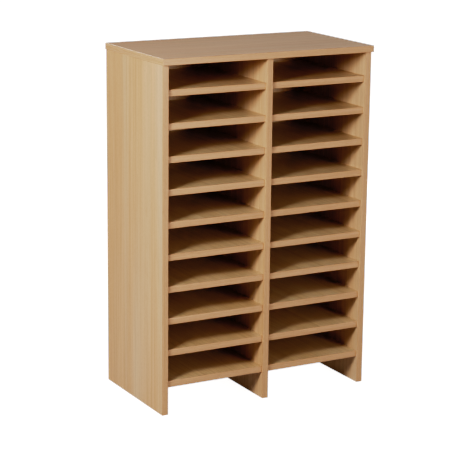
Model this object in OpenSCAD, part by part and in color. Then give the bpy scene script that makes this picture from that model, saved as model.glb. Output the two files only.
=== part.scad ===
// Two-column pigeonhole sorter in faced chipboard: edged boards, dowelled joints and a grooved-in back.
// Origin on the floor at the centre of the footprint, +X to the right, +Y to the back, +Z up.

/* [Pigeonholes] */
// Clear width of one pigeonhole
hole_w = 293; // [220:1:330]
// Clear height of a pigeonhole below the top row
hole_h = 70; // [50:1:100]
// Clear height of the pigeonholes in the top row
top_hole_h = 65; // [50:1:100]
// Pigeonholes in each column
rows = 10; // [4:1:10]

/* [Boards] */
// Thickness of the faced boards
board_t = 18; // [16:0.5:22]
// Depth of the sides, from the face of their edging to their rear edge
side_d = 345; // [300:1:400]
// Clear height under the base shelves
foot_h = 75; // [40:1:120]
// How far the shelves' edging sits behind the uprights' edging
shelf_setback = 6; // [2:0.5:15]
// How far the top stands out past each side
top_overhang_side = 3; // [2:0.5:15]
// How far the top stands out in front of the uprights
top_overhang_front = 8; // [2:0.5:20]

/* [Edging] */
// Thickness of the edging strips
edging_t = 2; // [1:0.1:3]
// Radius of the strips' outer arrises
arris_r = 1.5; // [0.3:0.1:2.5]
// Flat left on a strip between its arris and the glue line
arris_land = 0.3; // [0.1:0.05:0.6]
// Easing of the upright corners at the ends of the shelves' strips
end_ease = 0.7; // [0.2:0.1:1.5]

/* [Back] */
// Thickness of the back panel
back_t = 6; // [4:0.5:9]
// How far the back's rear face sits in from the rear edges of the sides
back_inset = 6; // [4:0.5:15]
// Depth of the grooves in the sides and the top
groove_depth = 8; // [4:0.5:10]
// Clearance of the back in its grooves, at each face and each end
groove_gap = 0.2; // [0.1:0.05:0.5]

/* [Dowels] */
// Diameter of the dowels
dowel_d = 8; // [6:0.5:10]
// Dowels in each joint
dowel_count = 3; // [2:1:4]
// Length of a dowel inside the face of a side or the top
dowel_in_face = 12; // [8:0.5:13]
// Length of a dowel inside the end of a shelf or an upright
dowel_in_end = 23; // [15:0.5:35]
// From a shelf's front and rear edges to its nearest dowels
dowel_inset = 42; // [40:1:70]
// Glue clearance round a dowel
dowel_gap = 0.1; // [0.05:0.05:0.2]
// Spare depth past each end of a dowel
dowel_end_gap = 1; // [0.5:0.1:2]
// Chamfer on the ends of a dowel
dowel_chamfer = 1; // [0.3:0.1:2]

/* [Back screws] */
// Diameter of the screws' shanks
screw_d = 3.5; // [3:0.1:4.5]
// Diameter of the countersunk heads
screw_head_d = 7; // [6:0.1:8.5]
// Length of the screws, head included
screw_len = 28; // [20:1:32]
// Length of the screws' points
screw_point = 5; // [3:0.5:8]
// Clearance round a screw
screw_gap = 0.1; // [0.05:0.05:0.2]
// Screws up the divider
divider_screws = 4; // [2:1:6]
// Screws along each base shelf
shelf_screws = 2; // [2:1:4]
// From a base shelf's ends to its nearest screws
shelf_screw_inset = 60; // [40:1:90]

/* [Hidden] */
$fn = 48;

pitch = hole_h + board_t;
carcass_w = 2 * hole_w + 3 * board_t;
top_shelf_z = foot_h + (rows - 1) * pitch;
carcass_h = top_shelf_z + board_t + top_hole_h;
top_w = carcass_w + 2 * top_overhang_side;
unit_d = side_d + top_overhang_front;
unit_h = carcass_h + board_t;
arris = min(arris_r, edging_t - arris_land);
end_cut = min(end_ease, edging_t - arris_land);

// Planes across the unit
inner_x = carcass_w / 2 - board_t;
divider_x = board_t / 2;

// Planes from front to back
rear_y = unit_d / 2;
front_y = rear_y - side_d;
back_rear_y = rear_y - back_inset;
back_front_y = back_rear_y - back_t;
upright_core_y = front_y + edging_t;
shelf_front_y = front_y + shelf_setback;
shelf_core_y = shelf_front_y + edging_t;

// Centres of the dowels in a joint, from front to back
dowel_first_y = shelf_core_y + dowel_inset;
dowel_last_y = back_front_y - dowel_inset;
dowel_step = (dowel_last_y - dowel_first_y) / (dowel_count - 1);
dowel_ys = [for (i = [0 : dowel_count - 1]) dowel_first_y + i * dowel_step];

// Lengths of the dowels, where those in the shelves start, and the middles of the uprights
face_dowel_len = dowel_in_face + dowel_in_end;
through_dowel_len = board_t + 2 * dowel_in_end;
left_dowel_x = -inner_x - dowel_in_face;
divider_dowel_x = -divider_x - dowel_in_end;
right_dowel_x = inner_x - dowel_in_end;
upright_xs = [-carcass_w / 2 + board_t / 2, 0, carcass_w / 2 - board_t / 2];

// Centres of the screws up the divider, from the lowest pigeonhole to the highest
screw_low_z = foot_h + board_t + hole_h / 2;
screw_high_z = carcass_h - top_hole_h / 2;
screw_rise = (screw_high_z - screw_low_z) / (divider_screws - 1);
divider_screw_zs = [for (i = [0 : divider_screws - 1]) screw_low_z + i * screw_rise];

// Centres of the screws along one base shelf, measured from its inner end
shelf_screw_step = (hole_w - 2 * shelf_screw_inset) / (shelf_screws - 1);
shelf_screw_xs = [for (i = [0 : shelf_screws - 1]) divider_x + shelf_screw_inset + i * shelf_screw_step];
base_screw_z = foot_h + board_t / 2;

BEECH = "#cda877";
EDGE = "#c39a69";
RAW_BEECH = "#dcc29a";
ZINC = "#c3c6c9";

LEFT = -1;
RIGHT = 1;

// Underside of the shelf in a row, counted from the top row down
function shelf_z(row) = top_shelf_z - (row - 1) * pitch;

// Lower X of the shelves in a column
function shelf_x(side) = side == LEFT ? -inner_x : divider_x;

// Box between two opposite corners
module slab(low, high) {
    translate(low) cube(high - low);
}

// Rectangle with its four corners rounded to the arris radius
module eased_rectangle(size) {
    translate([arris, 0]) square([size.x - 2 * arris, size.y]);
    translate([0, arris]) square([size.x, size.y - 2 * arris]);
    for (x = [arris, size.x - arris], y = [arris, size.y - arris]) {
        translate([x, y]) circle(r = arris);
    }
}

// Section of an edging strip: outer face at x = 0, glue line at x = edging_t
module edging_section() {
    intersection() {
        eased_rectangle([2 * edging_t, board_t]);
        square([edging_t, board_t]);
    }
}

// Strip along +X that faces the front, from the corner [0, 0, 0], with the upright corners of its ends eased
module level_edging(length) {
    intersection() {
        rotate([90, 0, 90]) linear_extrude(length) edging_section();
        linear_extrude(board_t) polygon([
            [0, end_cut], [end_cut, 0], [length - end_cut, 0],
            [length, end_cut], [length, edging_t], [0, edging_t]
        ]);
    }
}

// Strip up an upright that faces the front, from the corner [0, 0, 0]
module upright_edging() {
    translate([board_t, 0, 0]) rotate([0, 0, 90]) linear_extrude(carcass_h) edging_section();
}

// Whole body of the edged top, with every outer edge eased
module eased_top() {
    translate([-top_w / 2, -unit_d / 2, carcass_h]) intersection() {
        linear_extrude(board_t) eased_rectangle([top_w, unit_d]);
        rotate([90, 0, 90]) linear_extrude(top_w) eased_rectangle([unit_d, board_t]);
        translate([0, unit_d, 0]) rotate([90, 0, 0]) linear_extrude(unit_d) eased_rectangle([top_w, board_t]);
    }
}

// Part of the edged top inside a box that spans its thickness
module top_strip(low, high) {
    intersection() {
        eased_top();
        slab([low.x, low.y, carcass_h], [high.x, high.y, unit_h]);
    }
}

// One dowel with chamfered ends, along +Z from the origin
module dowel(length) {
    r = dowel_d / 2;
    chamfer = min(dowel_chamfer, r / 2);
    rotate_extrude() polygon([
        [0, 0], [r - chamfer, 0], [r, chamfer],
        [r, length - chamfer], [r - chamfer, length], [0, length]
    ]);
}

// Drilled hole for a dowel, along +Z, from one spare depth before the origin to one past the length
module dowel_hole(length) {
    translate([0, 0, -dowel_end_gap]) cylinder(d = dowel_d + 2 * dowel_gap, h = length + 2 * dowel_end_gap);
}

// Copies of a child that runs along +Z, laid along +X at one shelf's dowel centres
module at_shelf_dowels(x, row) {
    for (y = dowel_ys) {
        translate([x, y, shelf_z(row) + board_t / 2]) rotate([0, 90, 0]) children();
    }
}

// Copies of a child at the dowel centres of every shelf in a column
module at_column_dowels(x) {
    for (row = [1 : rows]) at_shelf_dowels(x, row) children();
}

// Copies of a child at the dowel centres in the top end of one upright
module at_upright_dowels(x) {
    for (y = dowel_ys) {
        translate([x, y, carcass_h - dowel_in_end]) children();
    }
}

// Copies of a child that runs along +Z, set in from the back's rear face at every screw
module at_screws() {
    for (z = divider_screw_zs) {
        translate([0, back_rear_y, z]) rotate([90, 0, 0]) children();
    }
    for (side = [LEFT, RIGHT], x = shelf_screw_xs) {
        translate([side * x, back_rear_y, base_screw_z]) rotate([90, 0, 0]) children();
    }
}

// Turned outline of a countersunk screw with its skin moved out by a clearance
module screw_body(gap) {
    head_r = screw_head_d / 2;
    shank_r = screw_d / 2 + gap;
    cone_h = head_r - screw_d / 2;
    rotate_extrude() polygon([
        [0, 0], [head_r + gap, 0], [shank_r, cone_h],
        [shank_r, screw_len - screw_point + gap], [gap, screw_len + gap], [0, screw_len + gap]
    ]);
}

// Core of the top, grooved for the back and drilled for the uprights' dowels
module top_panel() {
    color(BEECH) difference() {
        slab(
            [-top_w / 2 + edging_t, -unit_d / 2 + edging_t, carcass_h],
            [top_w / 2 - edging_t, unit_d / 2 - edging_t, unit_h]
        );
        back_groove([-top_w / 2, carcass_h], [top_w / 2, carcass_h + groove_depth]);
        for (x = upright_xs) at_upright_dowels(x) dowel_hole(face_dowel_len);
    }
}

// Space of the groove for the back between two corners in X and Z
module back_groove(low, high) {
    slab(
        [low.x, back_front_y - groove_gap, low.y],
        [high.x, back_rear_y + groove_gap, high.y]
    );
}

module top_front_edging() {
    color(EDGE) top_strip([-top_w / 2, -unit_d / 2], [top_w / 2, -unit_d / 2 + edging_t]);
}

module top_rear_edging() {
    color(EDGE) top_strip([-top_w / 2, unit_d / 2 - edging_t], [top_w / 2, unit_d / 2]);
}

// Strip on one short edge of the top, between the front and rear strips
module top_end_edging(side) {
    outer = side * top_w / 2;
    glue = side * (top_w / 2 - edging_t);
    end_y = unit_d / 2 - edging_t;
    color(EDGE) top_strip([min(outer, glue), -end_y], [max(outer, glue), end_y]);
}

module top_left_edging() {
    top_end_edging(LEFT);
}

module top_right_edging() {
    top_end_edging(RIGHT);
}

// Side board, grooved for the back over its whole height and drilled for its shelves and the top
module left_side() {
    color(BEECH) difference() {
        slab([-carcass_w / 2, upright_core_y, 0], [-inner_x, rear_y, carcass_h]);
        back_groove([-inner_x - groove_depth, 0], [-inner_x, carcass_h]);
        at_column_dowels(left_dowel_x) dowel_hole(face_dowel_len);
        at_upright_dowels(upright_xs[0]) dowel_hole(face_dowel_len);
    }
}

// The right side is the left one mirrored
module right_side() {
    mirror([1, 0, 0]) left_side();
}

module left_side_edging() {
    color(EDGE) translate([-carcass_w / 2, front_y, 0]) upright_edging();
}

module right_side_edging() {
    color(EDGE) translate([inner_x, front_y, 0]) upright_edging();
}

// Divider, drilled right through for the dowels that the two columns share
module centre_divider() {
    color(BEECH) difference() {
        slab([-divider_x, upright_core_y, 0], [divider_x, back_front_y, carcass_h]);
        at_column_dowels(divider_dowel_x) dowel_hole(through_dowel_len);
        at_upright_dowels(0) dowel_hole(face_dowel_len);
        at_screws() screw_body(screw_gap);
    }
}

module centre_divider_edging() {
    color(EDGE) translate([-divider_x, front_y, 0]) upright_edging();
}

// Back, let into the sides and the top, resting level with the underside of the base shelves
module back_panel() {
    half_w = inner_x + groove_depth - groove_gap;
    color(BEECH) difference() {
        slab([-half_w, back_front_y, foot_h], [half_w, back_rear_y, carcass_h + groove_depth - groove_gap]);
        at_screws() screw_body(screw_gap);
    }
}

module back_screws() {
    color(ZINC) at_screws() screw_body(0);
}

// Shelf of one column, drilled in both ends, and in its rear edge too where it is the base shelf
module shelf(side, row) {
    x = shelf_x(side);
    outer_dowel_x = side == LEFT ? left_dowel_x : right_dowel_x;
    color(BEECH) difference() {
        slab([x, shelf_core_y, shelf_z(row)], [x + hole_w, back_front_y, shelf_z(row) + board_t]);
        at_shelf_dowels(outer_dowel_x, row) dowel_hole(face_dowel_len);
        at_shelf_dowels(divider_dowel_x, row) dowel_hole(through_dowel_len);
        if (row == rows) at_screws() screw_body(screw_gap);
    }
}

module shelf_edging(side, row) {
    color(EDGE) translate([shelf_x(side), shelf_front_y, shelf_z(row)]) level_edging(hole_w);
}

module left_side_dowels() {
    color(RAW_BEECH) at_column_dowels(left_dowel_x) dowel(face_dowel_len);
}

module divider_dowels() {
    color(RAW_BEECH) at_column_dowels(divider_dowel_x) dowel(through_dowel_len);
}

module right_side_dowels() {
    color(RAW_BEECH) at_column_dowels(right_dowel_x) dowel(face_dowel_len);
}

module top_dowels() {
    color(RAW_BEECH) for (x = upright_xs) at_upright_dowels(x) dowel(face_dowel_len);
}

top_panel();
top_front_edging();
top_rear_edging();
top_left_edging();
top_right_edging();
left_side();
left_side_edging();
right_side();
right_side_edging();
centre_divider();
centre_divider_edging();
back_panel();
back_screws();
left_side_dowels();
divider_dowels();
right_side_dowels();
top_dowels();
for (row = [1 : rows]) {
    shelf(LEFT, row);
    shelf_edging(LEFT, row);
    shelf(RIGHT, row);
    shelf_edging(RIGHT, row);
}
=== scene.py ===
import math

import bpy
from mathutils import Matrix, Vector


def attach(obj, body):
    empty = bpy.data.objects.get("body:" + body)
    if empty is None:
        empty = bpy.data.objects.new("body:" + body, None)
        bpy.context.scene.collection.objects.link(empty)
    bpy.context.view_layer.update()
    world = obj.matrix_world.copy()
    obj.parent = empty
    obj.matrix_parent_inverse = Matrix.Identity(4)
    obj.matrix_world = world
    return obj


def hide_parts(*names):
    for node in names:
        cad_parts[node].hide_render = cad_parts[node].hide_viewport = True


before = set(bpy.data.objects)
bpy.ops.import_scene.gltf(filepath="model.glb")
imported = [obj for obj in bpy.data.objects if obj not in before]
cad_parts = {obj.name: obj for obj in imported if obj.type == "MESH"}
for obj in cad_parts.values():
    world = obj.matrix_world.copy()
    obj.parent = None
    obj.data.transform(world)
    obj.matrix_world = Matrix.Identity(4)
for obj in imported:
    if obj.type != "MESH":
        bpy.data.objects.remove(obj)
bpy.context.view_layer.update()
scene = bpy.context.scene

# Sizes in metres
MM = 0.001
ROWS = 10

# Back screws: depth below the head's face and radius there, then the recess
BACK_REAR_Y = 170.5 * MM
SCREW_SIDES = 48
SCREW_HEAD_R = 3.5 * MM
SCREW_STEPS = ((1.75 * MM, 1.75 * MM), (23.0 * MM, 1.75 * MM), (28.0 * MM, 0.15 * MM))
SCREW_EASE = 0.08 * MM
EASE_STEPS = 2
EASE_FROM = math.radians(40.0)
SMOOTH_UP_TO = math.radians(30.0)
RECESS_SPAN = 4.4 * MM
RECESS_SLOT = 1.1 * MM
RECESS_DEPTH = 1.6 * MM
RECESS_TAPER = 0.55

# Where the screws go in: up the divider in even steps, then along the two base shelves
DIVIDER_SCREWS = 4
DIVIDER_SCREW_LOW_Z = 128.0 * MM
DIVIDER_SCREW_HIGH_Z = 917.5 * MM
BASE_SCREW_Z = 84.0 * MM
BASE_SCREW_XS = (-242.0 * MM, -69.0 * MM, 69.0 * MM, 242.0 * MM)

# Modelling: points closer than this are one, and how far a normal points one way to count as facing it
MERGE_GAP = 0.01 * MM
FACING = 0.5
QUARTER_TURN = math.pi / 2.0

# Camera, solved from the unit's own edges in a 468 by 468 picture
CAMERA_AT = Vector((-2.28112, -4.08589, 1.58598))
CAMERA_LOOKS_AT = Vector((-0.01156, 0.0, 0.43429))
CAMERA_ROLL = math.radians(0.6613)
CAMERA_LENS = 131.979
CAMERA_SENSOR = 36.0

# Studio light: where each box stands, its width, height and power in watts; all face the middle of the unit
AIM = Vector((0.0, 0.0, 0.50))
SOFTBOXES = {
    "key_softbox": (Vector((-2.010, -1.065, 1.50)), 0.55, 0.55, 103.0),
    "front_fill": (Vector((0.86, -3.30, 1.05)), 0.6, 0.5, 60.0),
    "right_fill": (Vector((2.20, -2.40, 1.35)), 1.2, 1.0, 25.0),
    "high_fill": (Vector((0.0, -1.80, 3.20)), 1.5, 1.5, 9.0),
    "overhead": (Vector((2.40, 1.40, 2.60)), 1.5, 1.5, 22.0),
    "rim_light": (Vector((-0.50, 3.00, 2.30)), 1.4, 0.6, 38.0),
    "low_back_light": (Vector((1.00, 2.90, 0.70)), 1.6, 0.5, 39.0),
    "low_right_light": (Vector((2.90, 1.60, 0.70)), 1.2, 0.5, 46.0),
}
LIGHT_TINT = "FFF2EC"
BACK_GLOW = 1.30
BACKDROP_GLOW = 3.0

# Floor: grey enough to keep the slots deep, lifted to white for the eye, more so with distance
FLOOR_HALF = 40.0
FLOOR_TONE = "BCBAB8"
FLOOR_ROUGHNESS = 0.9
FLOOR_GLOW_TINT = "FFFFFF"
FLOOR_GLOW_NEAR = 2.9
FLOOR_GLOW_FAR = 3.2
FLOOR_NEAR = 0.6
FLOOR_FAR = 3.0
FLOOR_SHEEN = 0.40
VIEW_REACH = 4.0 * FLOOR_HALF

# Camera response, worked out at a few lights: a shoulder that holds the lit side under a ceiling, less a toe
# that deepens the slots, and last a rise to white, as light and answer
RESPONSE_WHITE = 3.0
RESPONSE_LIGHTS = (0.03, 0.06, 0.1, 0.2, 0.4, 0.6, 0.8, 1.0, 1.3, 1.6)
SHOULDER_CEILING = 0.85
TOE_DEPTH = 0.0108
TOE_START = 0.022
TOE_END = 0.5
RISE_TO_WHITE = (2.2, 0.87)

# Red and blue swell or dip a little before that: the light at the middle of each swell, how far it reaches
# as a natural logarithm, and its share of the light
RED_LIGHTS = (0.05, 0.08, 0.11, 0.15, 0.24, 0.5, 0.65, 0.85)
RED_SWELLS = ((0.05, 0.50, -0.12), (0.125, 0.35, 0.12), (0.55, 0.30, -0.06))
BLUE_LIGHTS = (0.01, 0.03, 0.055, 0.08, 0.11, 0.25, 0.5, 0.8)
BLUE_SWELLS = ((0.01, 0.50, 1.2), (0.055, 0.45, -0.29), (0.40, 0.70, 0.038))
RED_CURVE = 0
BLUE_CURVE = 2
COMMON_CURVE = 3
VIEW_GAMMA = 0.552

# Sockets of the Mix node, which has one set for values and one for colours
MIX_FACTOR = 0
VALUE_A = 2
VALUE_B = 3
COLOUR_A = 6
COLOUR_B = 7
MIXED_VALUE = 0
MIXED_COLOUR = 2


def colour(code):
    """Linear colour of an sRGB hex value."""
    channels = []
    for start in (0, 2, 4):
        level = int(code[start:start + 2], 16) / 255.0
        channels.append(level / 12.92 if level <= 0.04045 else ((level + 0.055) / 1.055) ** 2.4)
    return (*channels, 1.0)


def camera_answer(light):
    """The camera's answer to a light: the shoulder less the toe, which is gone again in bright light."""
    shoulder = light / math.hypot(1.0, light / SHOULDER_CEILING)
    toe = TOE_DEPTH * (1.0 - math.exp(-light / TOE_START)) * math.exp(-(light / TOE_END) ** 2)
    return shoulder - toe


def swollen(light, swells):
    """A light after the swells and dips of its channel."""
    gain = 1.0
    for middle, reach, share in swells:
        gain += share * math.exp(-(math.log(light / middle) / reach) ** 2)
    return light * gain


def add(tree, kind, inputs=None, ramp=None, **settings):
    """Adds a node: its settings, its input values or links, and a colour ramp's stops."""
    node = tree.nodes.new(kind)
    for name, value in settings.items():
        setattr(node, name, value)
    for name, value in (inputs or {}).items():
        if isinstance(value, bpy.types.NodeSocket):
            tree.links.new(value, node.inputs[name])
        else:
            node.inputs[name].default_value = value
    if ramp:
        stops = node.color_ramp.elements
        while len(stops) < len(ramp):
            stops.new(1.0)
        for stop, (place, code) in zip(stops, ramp):
            stop.position = place
            stop.color = colour(code)
    return node


def new_material(name):
    """An empty node material with its shader and output."""
    material = bpy.data.materials.new(name)
    material.use_nodes = True
    tree = material.node_tree
    tree.nodes.clear()
    shader = add(tree, "ShaderNodeBsdfPrincipled")
    add(tree, "ShaderNodeOutputMaterial", {"Surface": shader.outputs["BSDF"]})
    return material, tree, shader


# Beech print: how wide each layer is across the grain, and how long along it, in millimetres
HEART_SIZE = (120.0, 2400.0)
BAND_SIZE = (45.0, 1700.0)
STREAK_SIZE = (9.0, 900.0)
LINE_SIZE = (1.6, 120.0)
FLECK_SIZE = (1.3, 8.0)
RING_FIELD_SIZE = (75.0, 1500.0)
RINGS_PER_FIELD = 26.0
WANDER_SIZE = (260.0, 700.0)
WANDER_REACH = 7.0

# Mean of a noise, and the noise levels between which the heart and the flecks set in
NOISE_MEAN = 0.5
HEART_EDGE = (0.46, 0.64)
FLECK_EDGE = (0.60, 0.70)

# Where on the printed roll each kind of piece is cut: starts of the heart and the bands, in their own sizes
UPRIGHT_CUT = ((1.0, 42.2, 41.4), (13.4, 9.3, 67.1))
SHELF_CUT = ((55.8, 69.6, 25.0), (15.8, 52.3, 46.8))
TOP_CUT = ((35.1, 28.1, 28.0), (20.6, 29.3, 3.8))
BACK_CUT = ((12.4, 31.7, 8.2), (44.9, 6.1, 21.3))
STRIP_CUT = ((0.0, 0.0, 0.0), (9.7, 3.1, 27.5))

# Weight of each layer: heart and bands shift the tone, finer ones go from late wood at 0 to early wood at 1
HEART_WEIGHT = -0.38
NO_HEART = 0.0
BAND_WEIGHT = 0.67
STREAK_WEIGHT = 1.40
RING_WEIGHT = 0.15
LINE_WEIGHT = 0.80
FLECK_WEIGHT = -0.30

# Late wood and early wood of each print, from its most orange to its palest tone
BOARD_TONES = (((0.0, "C9A076"), (0.5, "CDAF8C"), (1.0, "D3BEA1")),
               ((0.0, "E1B88E"), (0.5, "E5C7A4"), (1.0, "EBD6B9")))
# The shelves are the same board as the uprights. Their tones are less red as a painted tint for the reddish
# light bounced about inside the slots.
SHELF_SLOT_LIGHT_TONES = (((0.0, "BEA27A"), (0.5, "C9B18D"), (1.0, "CFC0A2")),
               ((0.0, "D6BA92"), (0.5, "E1C9A5"), (1.0, "E7D8BA")))
# The top is the same board as the uprights. Its tones are redder and less blue as a painted tint that offsets
# the pale sheen the top shows at a low angle.
TOP_SHEEN_OFFSET_TONES = (((0.0, "CDA072"), (0.5, "D1AF88"), (1.0, "D7BE9D")),
             ((0.0, "E5B88A"), (0.5, "E9C7A0"), (1.0, "EFD6B5")))
BACK_TONES = (((0.0, "CDA77F"), (0.5, "D1B897"), (1.0, "D7C7AC")),
              ((0.0, "E5BF97"), (0.5, "E9D0AF"), (1.0, "EFDFC4")))
STRIP_TONES = (((0.0, "BC946E"), (0.5, "C49E7A"), (1.0, "CAA684")),
               ((0.0, "CCA47E"), (0.5, "D4AE8A"), (1.0, "DAB694")))
TOP_END_TONES = (((0.0, "C39B72"), (0.5, "CBA57E"), (1.0, "D1AD88")),
                 ((0.0, "D3AB82"), (0.5, "DBB58E"), (1.0, "E1BD98")))
DOWEL_TONES = (((0.0, "C79F6C"), (1.0, "D8B88C")),
               ((0.0, "DCBF96"), (1.0, "E8D3B0")))

# Bare chipboard at the rear edges: its chips' tones and size in millimetres
CHIP_TONES = ((0.0, "9C8262"), (0.35, "C0A782"), (0.65, "D2BE9E"), (1.0, "E4D6BC"))
CHIP_SIZE = 2.2
CHIP_ROUGHNESS = 0.85

# Sheen: roughness from the low to the high fine lines, and the span of those lines
LINE_SPAN = (0.3, 0.7)
BOARD_ROUGHNESS = (0.44, 0.36)
STRIP_ROUGHNESS = (0.30, 0.22)
MELAMINE_IOR = 1.5
ABS_IOR = 1.53
EMBOSS_STRENGTH = 0.12
EMBOSS_DEPTH = 0.06 * MM
BEECH_ROUGHNESS = 0.7

# Zinc plate: the mottle's size in millimetres, and its tones
ZINC_MOTTLE = 0.8
ZINC_DETAIL = 2.0
ZINC_TONES = ((0.3, "B9BCC0"), (0.7, "D3D5D8"))
ZINC_ROUGHNESS = 0.32


def along(grain, across_mm, length_mm):
    """Mapping scale for a pattern that is so wide across the grain and so long along it."""
    scale = [1.0 / (across_mm * MM)] * 3
    scale["XYZ".index(grain)] = 1.0 / (length_mm * MM)
    return scale


def stack(tree, layers):
    """Weighted sum of layers about one half; each comes with its weight and its mean."""
    level = 0.5 - sum(weight * mean for layer, weight, mean in layers)
    for layer, weight, mean in layers:
        total = add(tree, "ShaderNodeMath", {0: layer, 1: weight, 2: level}, operation="MULTIPLY_ADD")
        level = total.outputs["Value"]
    return level


def streaks(tree, place, grain, size, detail=1.0, start=(0.0, 0.0, 0.0)):
    """Noise drawn out along the grain."""
    spot = add(tree, "ShaderNodeMapping", {"Vector": place, "Location": start, "Scale": along(grain, *size)})
    noise = add(tree, "ShaderNodeTexNoise", {"Vector": spot.outputs["Vector"], "Scale": 1.0,
                                             "Detail": detail})
    return noise.outputs["Fac"]


def beech_print(tree, grain, tones, heart_weight, cut):
    """Printed beech: orange heart and paler sapwood, bands, streaks, growth rings, fine lines and ray flecks.

    Returns the colour and the fine lines' height. The streaks and flecks are drawn about twice their real
    size so that they show.
    """
    place = add(tree, "ShaderNodeTexCoord").outputs["Object"]
    wide = add(tree, "ShaderNodeMapping", {"Vector": place, "Scale": along(grain, *WANDER_SIZE)})
    drift = add(tree, "ShaderNodeTexNoise", {"Vector": wide.outputs["Vector"], "Scale": 1.0, "Detail": 1.0})
    middle = add(tree, "ShaderNodeVectorMath", {0: drift.outputs["Color"], 1: (NOISE_MEAN,) * 3},
                 operation="SUBTRACT")
    reach = add(tree, "ShaderNodeVectorMath", {0: middle.outputs["Vector"], "Scale": 2.0 * WANDER_REACH * MM},
                operation="SCALE")
    wander = add(tree, "ShaderNodeVectorMath", {0: place, 1: reach.outputs["Vector"]}, operation="ADD")
    wavy = wander.outputs["Vector"]

    heart_field = streaks(tree, wavy, grain, HEART_SIZE, detail=0.0, start=cut[0])
    heart = add(tree, "ShaderNodeMapRange", {"Value": heart_field,
                                             "From Min": HEART_EDGE[0], "From Max": HEART_EDGE[1]},
                interpolation_type="SMOOTHSTEP")
    ring_field = streaks(tree, wavy, grain, RING_FIELD_SIZE)
    rings = add(tree, "ShaderNodeMath", {0: ring_field, 1: RINGS_PER_FIELD}, operation="MULTIPLY")
    ring = add(tree, "ShaderNodeMath", {0: rings.outputs["Value"]}, operation="FRACT")
    line = streaks(tree, wavy, grain, LINE_SIZE)
    fleck = add(tree, "ShaderNodeMapRange", {"Value": streaks(tree, wavy, grain, FLECK_SIZE, detail=0.0),
                                             "From Min": FLECK_EDGE[0], "From Max": FLECK_EDGE[1]})
    tone = stack(tree, ((streaks(tree, wavy, grain, BAND_SIZE, start=cut[1]), BAND_WEIGHT, NOISE_MEAN),
                        (heart.outputs["Result"], heart_weight, 0.0)))
    early = stack(tree, ((streaks(tree, wavy, grain, STREAK_SIZE), STREAK_WEIGHT, NOISE_MEAN),
                         (ring.outputs["Value"], RING_WEIGHT, NOISE_MEAN),
                         (line, LINE_WEIGHT, NOISE_MEAN),
                         (fleck.outputs["Result"], FLECK_WEIGHT, 0.0)))
    late_wood = add(tree, "ShaderNodeValToRGB", {"Fac": tone}, ramp=tones[0])
    early_wood = add(tree, "ShaderNodeValToRGB", {"Fac": tone}, ramp=tones[1])
    shade = add(tree, "ShaderNodeMix", {MIX_FACTOR: early, COLOUR_A: late_wood.outputs["Color"],
                                        COLOUR_B: early_wood.outputs["Color"]}, data_type="RGBA")
    return shade.outputs[MIXED_COLOUR], line


def line_sheen(tree, line, roughness):
    """Roughness that follows the fine lines."""
    sheen = add(tree, "ShaderNodeMapRange", {"Value": line,
                                             "From Min": LINE_SPAN[0], "From Max": LINE_SPAN[1],
                                             "To Min": roughness[0], "To Max": roughness[1]})
    return sheen.outputs["Result"]


def faced_board(name, grain, tones, cut, face=None):
    """Melamine-faced chipboard with a beech print: satin, slightly embossed along the grain.

    The eye gets broad areas of paler and more orange wood, thin growth lines and a soft sheen. Where face
    names the axis through the board, the edges across it are sawn and bare: matt chips of pale and brown
    wood.
    """
    material, tree, shader = new_material(name)
    shade, line = beech_print(tree, grain, tones, HEART_WEIGHT, cut)
    gloss = line_sheen(tree, line, BOARD_ROUGHNESS)
    if face:
        spot = add(tree, "ShaderNodeTexCoord")
        turn = add(tree, "ShaderNodeSeparateXYZ", {"Vector": spot.outputs["Normal"]})
        size = add(tree, "ShaderNodeMath", {0: turn.outputs[face]}, operation="ABSOLUTE")
        test = add(tree, "ShaderNodeMath", {0: size.outputs["Value"], 1: FACING}, operation="GREATER_THAN")
        faced = test.outputs["Value"]
        chips = add(tree, "ShaderNodeTexVoronoi", {"Vector": spot.outputs["Object"],
                                                   "Scale": 1.0 / (CHIP_SIZE * MM)})
        chip = add(tree, "ShaderNodeSeparateColor", {"Color": chips.outputs["Color"]})
        core = add(tree, "ShaderNodeValToRGB", {"Fac": chip.outputs["Red"]}, ramp=CHIP_TONES)
        cover = add(tree, "ShaderNodeMix", {MIX_FACTOR: faced, COLOUR_A: core.outputs["Color"],
                                            COLOUR_B: shade}, data_type="RGBA")
        shade = cover.outputs[MIXED_COLOUR]
        matt = add(tree, "ShaderNodeMix", {MIX_FACTOR: faced, VALUE_A: CHIP_ROUGHNESS, VALUE_B: gloss})
        gloss = matt.outputs[MIXED_VALUE]
    tree.links.new(shade, shader.inputs["Base Color"])
    tree.links.new(gloss, shader.inputs["Roughness"])
    emboss = add(tree, "ShaderNodeBump", {"Height": line, "Strength": EMBOSS_STRENGTH,
                                          "Distance": EMBOSS_DEPTH})
    tree.links.new(emboss.outputs["Normal"], shader.inputs["Normal"])
    shader.inputs["IOR"].default_value = MELAMINE_IOR
    return material


def strip_edging(name, grain, tones):
    """ABS edging with a beech print: darker and pinker than the boards, glossier on its rounded arrises."""
    material, tree, shader = new_material(name)
    shade, line = beech_print(tree, grain, tones, NO_HEART, STRIP_CUT)
    tree.links.new(shade, shader.inputs["Base Color"])
    tree.links.new(line_sheen(tree, line, STRIP_ROUGHNESS), shader.inputs["Roughness"])
    shader.inputs["IOR"].default_value = ABS_IOR
    return material


def raw_beech(name):
    """Raw turned beech dowel: pale, matt, with fine flecks along it."""
    material, tree, shader = new_material(name)
    shade, line = beech_print(tree, "X", DOWEL_TONES, NO_HEART, STRIP_CUT)
    tree.links.new(shade, shader.inputs["Base Color"])
    shader.inputs["Roughness"].default_value = BEECH_ROUGHNESS
    return material


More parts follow.
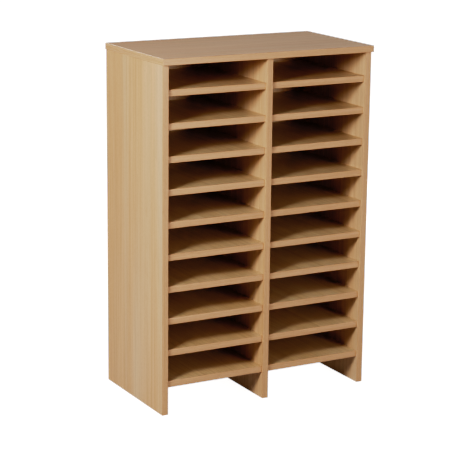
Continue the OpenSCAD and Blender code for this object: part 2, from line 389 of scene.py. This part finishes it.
def zinc_plate(name):
    """Bright zinc-plated steel: pale grey metal with a fine mottled sheen."""
    material, tree, shader = new_material(name)
    place = add(tree, "ShaderNodeTexCoord").outputs["Object"]
    mottle = add(tree, "ShaderNodeTexNoise", {"Vector": place, "Scale": 1.0 / (ZINC_MOTTLE * MM),
                                              "Detail": ZINC_DETAIL})
    tint = add(tree, "ShaderNodeValToRGB", {"Fac": mottle.outputs["Fac"]}, ramp=ZINC_TONES)
    tree.links.new(tint.outputs["Color"], shader.inputs["Base Color"])
    shader.inputs["Metallic"].default_value = 1.0
    shader.inputs["Roughness"].default_value = ZINC_ROUGHNESS
    return material


def edit(piece):
    """Opens one piece for editing by its faces, with nothing on it selected."""
    bpy.ops.object.select_all(action="DESELECT")
    piece.select_set(True)
    bpy.context.view_layer.objects.active = piece
    bpy.ops.object.mode_set(mode="EDIT")
    bpy.ops.mesh.select_mode(type="FACE")
    bpy.ops.mesh.select_all(action="DESELECT")


def pick_faces(piece, wanted):
    """Selects the faces whose normal passes a test, and goes back to editing."""
    bpy.ops.object.mode_set(mode="OBJECT")
    for face in piece.data.polygons:
        face.select = wanted(face.normal)
    bpy.ops.object.mode_set(mode="EDIT")


def finish_edit():
    """Turns all faces outwards and leaves edit mode."""
    bpy.ops.mesh.select_all(action="SELECT")
    bpy.ops.mesh.remove_doubles(threshold=MERGE_GAP)
    bpy.ops.mesh.normals_make_consistent(inside=False)
    bpy.ops.object.mode_set(mode="OBJECT")


def apply_place(piece):
    """Puts a piece's place and turn into its mesh."""
    bpy.ops.object.select_all(action="DESELECT")
    piece.select_set(True)
    bpy.context.view_layer.objects.active = piece
    bpy.ops.object.transform_apply(location=True, rotation=True, scale=True)


def dress(node, material):
    """Gives a CAD node its finish."""
    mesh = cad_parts[node].data
    mesh.materials.clear()
    mesh.materials.append(material)


upright_board = faced_board("beech_melamine_upright", "Z", BOARD_TONES, UPRIGHT_CUT, "X")
# Painted tint: the top's tones are made redder to offset its pale sheen
top_board = faced_board("beech_melamine_top", "X", TOP_SHEEN_OFFSET_TONES, TOP_CUT)
# Painted tint: the shelves' tones are made less red for the light inside the slots
shelf_board = faced_board("beech_melamine_shelf", "Y", SHELF_SLOT_LIGHT_TONES, SHELF_CUT)
back_board = faced_board("beech_melamine_back", "Z", BACK_TONES, BACK_CUT, "Y")
level_strip = strip_edging("beech_abs_level", "X", STRIP_TONES)
upright_strip = strip_edging("beech_abs_upright", "Z", STRIP_TONES)
top_end_strip = strip_edging("beech_abs_top_ends", "Y", TOP_END_TONES)
dowel_wood = raw_beech("raw_beech_dowel")
screw_zinc = zinc_plate("zinc_plated_steel")

for node in ("left_side", "right_side", "centre_divider"):
    dress(node, upright_board)
    dress(node + "_edging", upright_strip)
dress("top_panel", top_board)
dress("back_panel", back_board)
for edge in ("front", "rear"):
    dress(f"top_{edge}_edging", level_strip)
for edge in ("left", "right"):
    dress(f"top_{edge}_edging", top_end_strip)
for side in ("left", "right"):
    for row in range(1, ROWS + 1):
        dress(f"{side}_shelf_{row}", shelf_board)
        dress(f"{side}_shelf_edging_{row}", level_strip)
for node in ("left_side_dowels", "divider_dowels", "right_side_dowels", "top_dowels"):
    dress(node, dowel_wood)
dress("back_screws", screw_zinc)


# Countersunk chipboard screw with a cross recess: a disc drawn in to the shank and on to the point
bpy.ops.object.select_all(action="DESELECT")
bpy.ops.mesh.primitive_circle_add(vertices=SCREW_SIDES, radius=SCREW_HEAD_R, fill_type="NGON",
                                  rotation=(-QUARTER_TURN, 0.0, 0.0))
screw = bpy.context.object
screw.name = "back_screw"
apply_place(screw)
edit(screw)
bpy.ops.mesh.select_all(action="SELECT")
reached = 0.0
radius = SCREW_HEAD_R
for depth, next_radius in SCREW_STEPS:
    bpy.ops.mesh.extrude_region_move(TRANSFORM_OT_translate={"value": (0.0, reached - depth, 0.0)})
    slim = next_radius / radius
    bpy.ops.transform.resize(value=(slim, 1.0, slim), center_override=(0.0, -depth, 0.0))
    reached = depth
    radius = next_radius
finish_edit()

# Cutter for the recess: one tapered bar across another
bpy.ops.object.select_all(action="DESELECT")
bpy.ops.mesh.primitive_cube_add(size=1.0)
cross = bpy.context.object
cross.scale = (RECESS_SPAN, 2.0 * RECESS_DEPTH, RECESS_SLOT)
apply_place(cross)
edit(cross)
pick_faces(cross, lambda normal: normal.y < -FACING)
bpy.ops.transform.resize(value=(RECESS_TAPER, 1.0, RECESS_TAPER), center_override=(0.0, -RECESS_DEPTH, 0.0))
bpy.ops.mesh.select_all(action="SELECT")
bpy.ops.mesh.duplicate()
bpy.ops.transform.rotate(value=QUARTER_TURN, orient_axis="Y", center_override=(0.0, 0.0, 0.0))
finish_edit()

recess = screw.modifiers.new("recess", "BOOLEAN")
recess.object = cross
recess.operation = "DIFFERENCE"
recess.solver = "EXACT"
recess.use_self = True
bpy.ops.object.select_all(action="DESELECT")
bpy.context.view_layer.objects.active = screw
bpy.ops.object.modifier_apply(modifier=recess.name)
bpy.ops.object.select_all(action="DESELECT")
cross.select_set(True)
bpy.ops.object.delete()
worn = screw.modifiers.new("worn_edges", "BEVEL")
worn.width = SCREW_EASE
worn.segments = EASE_STEPS
worn.limit_method = "ANGLE"
worn.angle_limit = EASE_FROM
bpy.context.view_layer.objects.active = screw
bpy.ops.object.modifier_apply(modifier=worn.name)
screw.data.materials.append(screw_zinc)
screw.select_set(True)
bpy.ops.object.shade_smooth_by_angle(angle=SMOOTH_UP_TO)

screw_rise = (DIVIDER_SCREW_HIGH_Z - DIVIDER_SCREW_LOW_Z) / (DIVIDER_SCREWS - 1)
screw_places = [(0.0, DIVIDER_SCREW_LOW_Z + step * screw_rise) for step in range(DIVIDER_SCREWS)]
screw_places += [(x, BASE_SCREW_Z) for x in BASE_SCREW_XS]
for number, (x, z) in enumerate(screw_places, start=1):
    bpy.ops.object.select_all(action="DESELECT")
    screw.select_set(True)
    bpy.context.view_layer.objects.active = screw
    bpy.ops.object.duplicate()
    copy = bpy.context.object
    copy.name = f"back_screw_{number}"
    copy.location = (x, BACK_REAR_Y, z)
    apply_place(copy)
    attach(copy, "root")
    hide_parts("back_screws")
bpy.ops.object.select_all(action="DESELECT")
screw.select_set(True)
bpy.ops.object.delete()

# Floor: a wide sheet of matt paper
bpy.ops.object.select_all(action="DESELECT")
bpy.ops.mesh.primitive_plane_add(size=2.0 * FLOOR_HALF, location=(0.0, 0.0, 0.0))
floor = bpy.context.object
floor.name = "studio_floor"
floor_paper, floor_tree, floor_shader = new_material("white_paper_sweep")
floor_shader.inputs["Base Color"].default_value = colour(FLOOR_TONE)
floor_shader.inputs["Roughness"].default_value = FLOOR_ROUGHNESS
seen = add(floor_tree, "ShaderNodeLightPath")
floor_spot = add(floor_tree, "ShaderNodeTexCoord")
floor_reach = add(floor_tree, "ShaderNodeVectorMath", {0: floor_spot.outputs["Object"]}, operation="LENGTH")
floor_glow = add(floor_tree, "ShaderNodeMapRange", {"Value": floor_reach.outputs["Value"],
                                                    "From Min": FLOOR_NEAR, "From Max": FLOOR_FAR,
                                                    "To Min": FLOOR_GLOW_NEAR, "To Max": FLOOR_GLOW_FAR},
                 interpolation_type="SMOOTHSTEP")
floor_sheen = add(floor_tree, "ShaderNodeMath", {0: seen.outputs["Is Glossy Ray"], 1: FLOOR_SHEEN},
                  operation="MULTIPLY")
floor_lift = add(floor_tree, "ShaderNodeMath", {0: seen.outputs["Is Camera Ray"],
                                                1: floor_glow.outputs["Result"],
                                                2: floor_sheen.outputs["Value"]}, operation="MULTIPLY_ADD")
floor_shader.inputs["Emission Color"].default_value = colour(FLOOR_GLOW_TINT)
floor_tree.links.new(floor_lift.outputs["Value"], floor_shader.inputs["Emission Strength"])
floor.data.materials.append(floor_paper)

# Softboxes, each turned to face the middle of the unit
for box_name, (at, width, height, power) in SOFTBOXES.items():
    lamp = bpy.data.lights.new(box_name, "AREA")
    lamp.shape = "RECTANGLE"
    lamp.size = width
    lamp.size_y = height
    lamp.energy = power
    lamp.color = colour(LIGHT_TINT)[:3]
    box = bpy.data.objects.new(box_name, lamp)
    box.location = at
    box.rotation_euler = (AIM - at).to_track_quat("-Z", "Y").to_euler()
    scene.collection.objects.link(box)

# Surroundings: a glow from behind for light, a pale backdrop for the eye
world = bpy.data.worlds.new("studio")
scene.world = world
world.use_nodes = True
room = world.node_tree
room.nodes.clear()
room_seen = add(room, "ShaderNodeLightPath")
room_way = add(room, "ShaderNodeTexCoord")
room_back = add(room, "ShaderNodeVectorMath", {0: room_way.outputs["Generated"], 1: (0.0, BACK_GLOW, 0.0)},
                operation="DOT_PRODUCT")
room_glow = add(room, "ShaderNodeMath", {0: room_back.outputs["Value"], 1: 0.0}, operation="MAXIMUM")
room_level = add(room, "ShaderNodeMapRange", {"Value": room_seen.outputs["Is Camera Ray"],
                                              "To Min": room_glow.outputs["Value"], "To Max": BACKDROP_GLOW})
room_light = add(room, "ShaderNodeBackground", {"Color": colour(LIGHT_TINT),
                                                "Strength": room_level.outputs["Result"]})
add(room, "ShaderNodeOutputWorld", {"Surface": room_light.outputs["Background"]})

# Camera
camera_data = bpy.data.cameras.new("photo_camera")
camera_data.lens = CAMERA_LENS
camera_data.sensor_width = CAMERA_SENSOR
camera_data.clip_end = VIEW_REACH
camera = bpy.data.objects.new("photo_camera", camera_data)
aim_turn = (CAMERA_LOOKS_AT - CAMERA_AT).to_track_quat("-Z", "Y").to_matrix()
camera_turn = aim_turn @ Matrix.Rotation(CAMERA_ROLL, 3, "Z")
camera.matrix_world = Matrix.Translation(CAMERA_AT) @ camera_turn.to_4x4()
scene.collection.objects.link(camera)
scene.camera = camera

scene.view_settings.view_transform = "Standard"
scene.view_settings.look = "None"
scene.view_settings.gamma = VIEW_GAMMA
scene.view_settings.use_curve_mapping = True
response = scene.view_settings.curve_mapping
response.white_level = [RESPONSE_WHITE] * 3
for light in RESPONSE_LIGHTS:
    response.curves[COMMON_CURVE].points.new(light / RESPONSE_WHITE, camera_answer(light))
rise_light, rise_answer = RISE_TO_WHITE
response.curves[COMMON_CURVE].points.new(rise_light / RESPONSE_WHITE, rise_answer)
for curve, lights, swells in ((RED_CURVE, RED_LIGHTS, RED_SWELLS), (BLUE_CURVE, BLUE_LIGHTS, BLUE_SWELLS)):
    for light in lights:
        response.curves[curve].points.new(light / RESPONSE_WHITE, swollen(light, swells) / RESPONSE_WHITE)
response.update()
